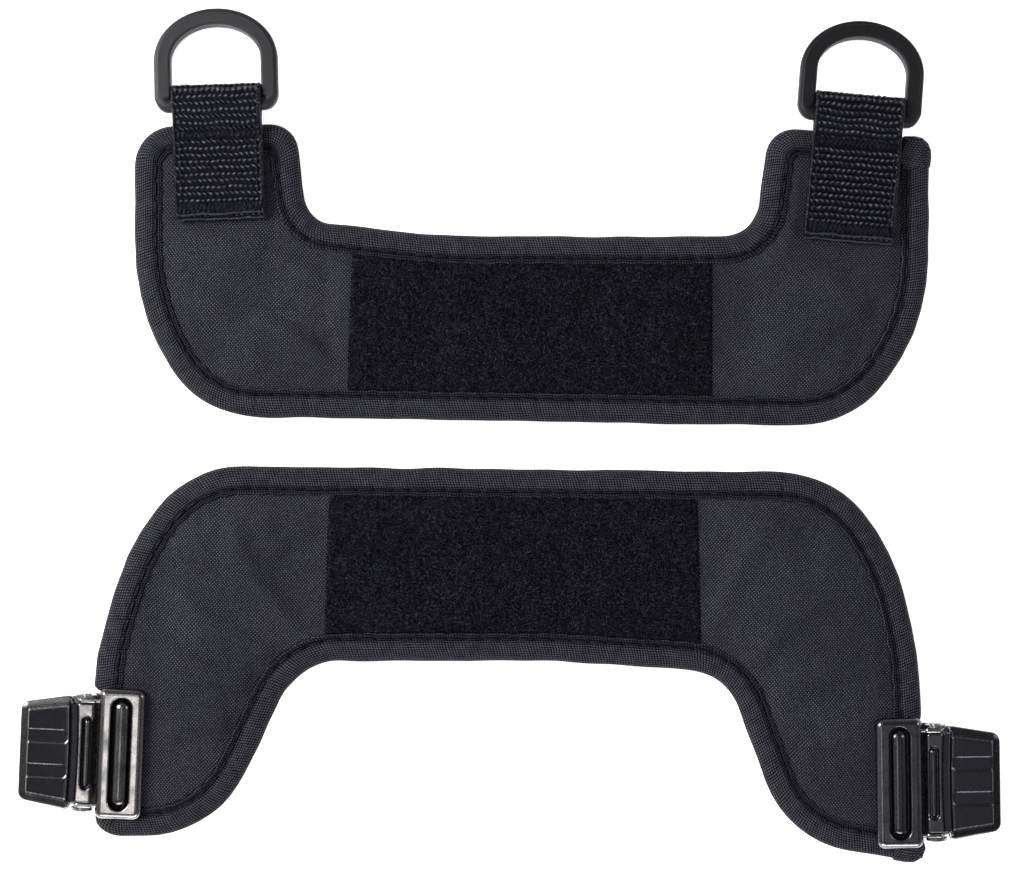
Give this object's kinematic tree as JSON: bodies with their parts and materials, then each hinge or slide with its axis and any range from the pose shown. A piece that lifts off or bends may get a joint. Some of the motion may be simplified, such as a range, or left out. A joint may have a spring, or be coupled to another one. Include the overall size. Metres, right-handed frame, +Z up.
{
  "type": "hand grip band pair",
  "caption": "Pair of padded, bound fabric bands with hook-and-loop patches: one with plastic D-rings on webbing loops, the other with stamped lever clips.",
  "frame": {"origin": "centre of the laid-out pair's outer box, on the surface it lies on", "axes": "+X along the bands towards the right clip, +Y towards the D-rings, +Z up from the surface"},
  "size_m": [0.2735, 0.2394, 0.0097],
  "materials": {
    "face_fabric": "plain-weave, charcoal, matt",
    "foam": "open-cell foam, hidden",
    "back_fabric": "plain-weave, matt",
    "binding": "ribbed binding tape, satin",
    "thread": "bonded sewing thread",
    "loop_pile": "napped loop pile, matt",
    "webbing": "woven webbing, satin yarn",
    "ring_plastic": "moulded acetal, satin",
    "black_nickel": "black-nickel plate, glossy, lightly worn"
  },
  "bodies": {
    "upper_band": {"upper_face": "face_fabric", "upper_foam": "foam", "upper_back": "back_fabric", "upper_binding": "binding", "upper_seam": "thread", "upper_loop_patch": "loop_pile", "upper_binding_tab": "binding", "left_ring_webbing": "webbing", "right_ring_webbing": "webbing", "left_webbing_stitches": "thread", "right_webbing_stitches": "thread"},
    "left_ring": {"left_ring": "ring_plastic"},
    "right_ring": {"right_ring": "ring_plastic"},
    "lower_band": {"lower_face": "face_fabric", "lower_foam": "foam", "lower_back": "back_fabric", "lower_binding": "binding", "lower_seam": "thread", "lower_loop_patch": "loop_pile", "lower_binding_tab": "binding"},
    "left_clip": {"left_clip_back": "black_nickel", "left_clip_pin": "black_nickel"},
    "left_jaw": {"left_clip_jaw": "black_nickel"},
    "left_lever": {"left_clip_lever": "black_nickel"},
    "right_clip": {"right_clip_back": "black_nickel", "right_clip_pin": "black_nickel"},
    "right_jaw": {"right_clip_jaw": "black_nickel"},
    "right_lever": {"right_clip_lever": "black_nickel"}
  },
  "joints": [
    {"name": "left_ring_swing", "type": "hinge", "parent": "upper_band", "child": "left_ring", "pos_m": [-0.08164, 0.0928, 0.0058], "axis": [0.9994, 0.0349, 0], "range_deg": [-100, 155]},
    {"name": "right_ring_swing", "type": "hinge", "parent": "upper_band", "child": "right_ring", "pos_m": [0.09708, 0.08931, 0.0058], "axis": [0.9962, -0.0872, 0], "range_deg": [-100, 155]},
    {"name": "lower_band_lift", "type": "slide", "parent": "upper_band", "child": "lower_band", "axis": [0, 0, 1], "range_m": [0, 0.15]},
    {"name": "left_clip_pull", "type": "slide", "parent": "lower_band", "child": "left_clip", "axis": [-0.9991, 0.0419, 0], "range_m": [0, 0.016]},
    {"name": "left_lever_lift", "type": "hinge", "parent": "left_clip", "child": "left_lever", "pos_m": [-0.1187, -0.08765, 0.0054], "axis": [0.0419, 0.9991, 0], "range_deg": [0, 90]},
    {"name": "left_jaw_open", "type": "hinge", "parent": "left_clip", "child": "left_jaw", "pos_m": [-0.1187, -0.08765, 0.0054], "axis": [-0.0419, -0.9991, 0], "range_deg": [0, 8.1]},
    {"name": "right_clip_pull", "type": "slide", "parent": "lower_band", "child": "right_clip", "axis": [0.9999, 0.014, 0], "range_m": [0, 0.016]},
    {"name": "right_lever_lift", "type": "hinge", "parent": "right_clip", "child": "right_lever", "pos_m": [0.1187, -0.09605, 0.0054], "axis": [0.014, -0.9999, 0], "range_deg": [0, 90]},
    {"name": "right_jaw_open", "type": "hinge", "parent": "right_clip", "child": "right_jaw", "pos_m": [0.1187, -0.09605, 0.0054], "axis": [-0.014, 0.9999, 0], "range_deg": [0, 8.1]}
  ],
  "couplings": [
    {"joint": "left_jaw_open", "follows": "left_lever_lift", "ratio": 0.088889},
    {"joint": "right_jaw_open", "follows": "right_lever_lift", "ratio": 0.088889}
  ]
}
